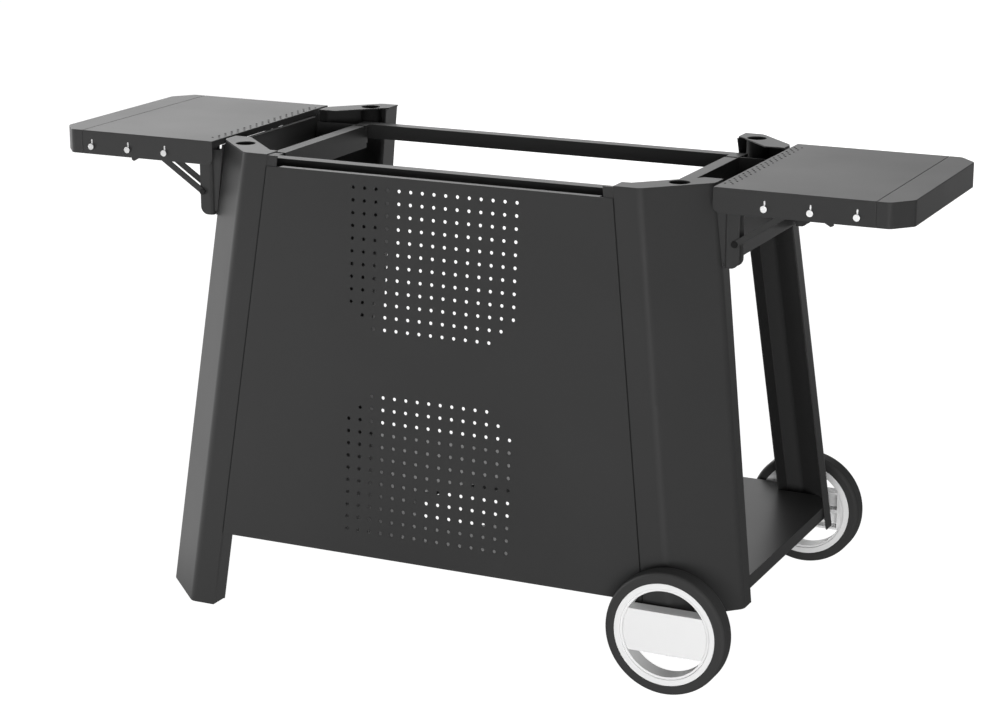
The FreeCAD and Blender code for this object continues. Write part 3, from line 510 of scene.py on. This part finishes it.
def make_floor():
    mesh = bpy.data.meshes.new("floor")
    h = FLOOR_HALF
    mesh.from_pydata([(-h, -h, 0), (h, -h, 0), (h, h, 0), (-h, h, 0)], [], [(0, 1, 2, 3)])
    floor = bpy.data.objects.new("floor", mesh)
    scene.collection.objects.link(floor)
    material, tree = new_material("pale_studio_floor")
    place = add(tree, "ShaderNodeTexCoord")
    side = add(tree, "ShaderNodeVectorMath", fields={"operation": "DOT_PRODUCT"},
               values={1: WHITE_SIDE}, links={0: place.outputs["Object"]})
    mirrored = add(tree, "ShaderNodeMapRange", fields={"interpolation_type": "SMOOTHSTEP"},
                   values={"From Min": FLOOR_FADE[0], "From Max": FLOOR_FADE[1],
                           "To Min": DIM_LEVEL, "To Max": 1.0},
                   links={"Value": side.outputs["Value"]})
    path = add(tree, "ShaderNodeLightPath")
    seen = add(tree, "ShaderNodeMath", fields={"operation": "MAXIMUM"},
               links={0: path.outputs["Is Camera Ray"], 1: path.outputs["Is Transmission Ray"]})
    level = add(tree, "ShaderNodeMix", values={"B": FLOOR_SEEN},
                links={"Factor": seen.outputs[0], "A": mirrored.outputs["Result"]})
    either = add(tree, "ShaderNodeMath", fields={"operation": "MAXIMUM"},
                 links={0: seen.outputs[0], 1: path.outputs["Is Glossy Ray"]})
    share = add(tree, "ShaderNodeMath", fields={"operation": "MULTIPLY"},
                values={1: 1.0 - FLOOR_LIT}, links={0: either.outputs[0]})
    sheet = add(tree, "ShaderNodeBsdfDiffuse", values={"Color": linear("#e5e5e5")})
    white = add(tree, "ShaderNodeEmission", links={"Strength": level.outputs["Result"]})
    mixed = add(tree, "ShaderNodeMixShader",
                links={0: share.outputs[0], 1: sheet.outputs[0], 2: white.outputs[0]})
    finish_material(tree, mixed)
    mesh.materials.append(material)
    return floor


floor = make_floor()
print("floor is", 2 * FLOOR_HALF, "m across")

# %% [markdown]
# ## Walls of light
# The satin paint is dark, so most of what the eye sees on it is the room mirrored in it. Behind
# the table on the left stands a bright white wall, and the rest of the room is dim. The world gives
# the camera plain white, and gives the paint that bright and dim room, fixed in place. A little
# plain light from all sides fills the shadows.

# %% World
WALL_LEVEL = 1.9
WALL_FADE = (0.3, 1.0)
FILL_LEVEL = 0.18


def make_world():
    world = bpy.data.worlds.new("white_room")
    scene.world = world
    world.use_nodes = True
    tree = world.node_tree
    tree.nodes.clear()
    place = add(tree, "ShaderNodeTexCoord")
    side = add(tree, "ShaderNodeVectorMath", fields={"operation": "DOT_PRODUCT"},
               values={1: WHITE_SIDE}, links={0: place.outputs["Generated"]})
    room = add(tree, "ShaderNodeMapRange", fields={"interpolation_type": "SMOOTHSTEP"},
               values={"From Min": WALL_FADE[0], "From Max": WALL_FADE[1],
                       "To Min": DIM_LEVEL, "To Max": WALL_LEVEL},
               links={"Value": side.outputs["Value"]})
    path = add(tree, "ShaderNodeLightPath")
    level = add(tree, "ShaderNodeMix", values={"A": FILL_LEVEL},
                links={"Factor": path.outputs["Is Glossy Ray"], "B": room.outputs["Result"]})
    direct = add(tree, "ShaderNodeMath", fields={"operation": "MAXIMUM"},
                 links={0: path.outputs["Is Camera Ray"], 1: path.outputs["Is Transmission Ray"]})
    strength = add(tree, "ShaderNodeMix", values={"B": 1.0},
                   links={"Factor": direct.outputs[0], "A": level.outputs["Result"]})
    light = add(tree, "ShaderNodeBackground", values={"Color": linear("#ffffff")},
                links={"Strength": strength.outputs["Result"]})
    add(tree, "ShaderNodeOutputWorld", links={"Surface": light.outputs[0]})


make_world()
print("world ready")

# %% [markdown]
# ## Lamps
# Three soft lamps do the rest. The main one stands in front, to the right, with its middle at the
# height of the table top. So it lights the panel and the wheels and reaches in under the shelves,
# while the upper faces and the far side of the oven frame stay darker. A weak one overhead draws
# the soft shadow, and one behind, weaker than the main one, keeps the open back readable. The front
# and rear lamps are hidden from reflections, as the satin bends of the legs would otherwise show
# them as sharp bright lines.

# %% Lamps
LAMP_AIM = (0.0, 0.0, 0.4)
# Each lamp has a name, a place, a size, a power in watts, and whether reflections show it.
LAMPS = (("front_lamp", (1.85, -4.15, 0.75), (2.4, 1.2), 190.0, False),
         ("top_lamp", (0.3, 0.4, 3.6), (2.6, 2.0), 11.0, True),
         ("rear_lamp", (-1.3, 4.3, 0.9), (2.4, 1.2), 72.0, False))


def soft_lamp(name, place, size, power, mirrored):
    data = bpy.data.lights.new(name, "AREA")
    data.shape = "RECTANGLE"
    data.size = size[0]
    data.size_y = size[1]
    data.energy = power
    lamp = bpy.data.objects.new(name, data)
    lamp.location = place
    lamp.rotation_euler = (Vector(LAMP_AIM) - Vector(place)).to_track_quat("-Z", "Y").to_euler()
    lamp.visible_glossy = mirrored
    scene.collection.objects.link(lamp)
    return lamp


lamps = [soft_lamp(*lamp) for lamp in LAMPS]
print("lamps:", [lamp.name for lamp in lamps])

# %% [markdown]
# ## Camera
# The camera stands where the photographer stood: about four metres away, to the right of the
# panel and a little above the table, with a long lens. It looks down by CAMERA_DROP and is turned
# from the panel's front by CAMERA_TURN, both in degrees.

# %% Camera
CAMERA_PLACE = (1.7016, -3.6314, 1.4905)
CAMERA_TURN = 25.2
CAMERA_DROP = 15.31
LENS = 90.744
SENSOR_WIDTH = 36.0


def make_camera():
    data = bpy.data.cameras.new("camera")
    data.sensor_fit = "HORIZONTAL"
    data.sensor_width = SENSOR_WIDTH
    data.lens = LENS
    camera = bpy.data.objects.new("camera", data)
    camera.location = CAMERA_PLACE
    camera.rotation_euler = (math.radians(90.0 - CAMERA_DROP), 0.0, math.radians(CAMERA_TURN))
    scene.collection.objects.link(camera)
    scene.camera = camera


make_camera()
scene.view_settings.view_transform = "Standard"
print("camera stands", round(scene.camera.location.length, 2), "m from the table")
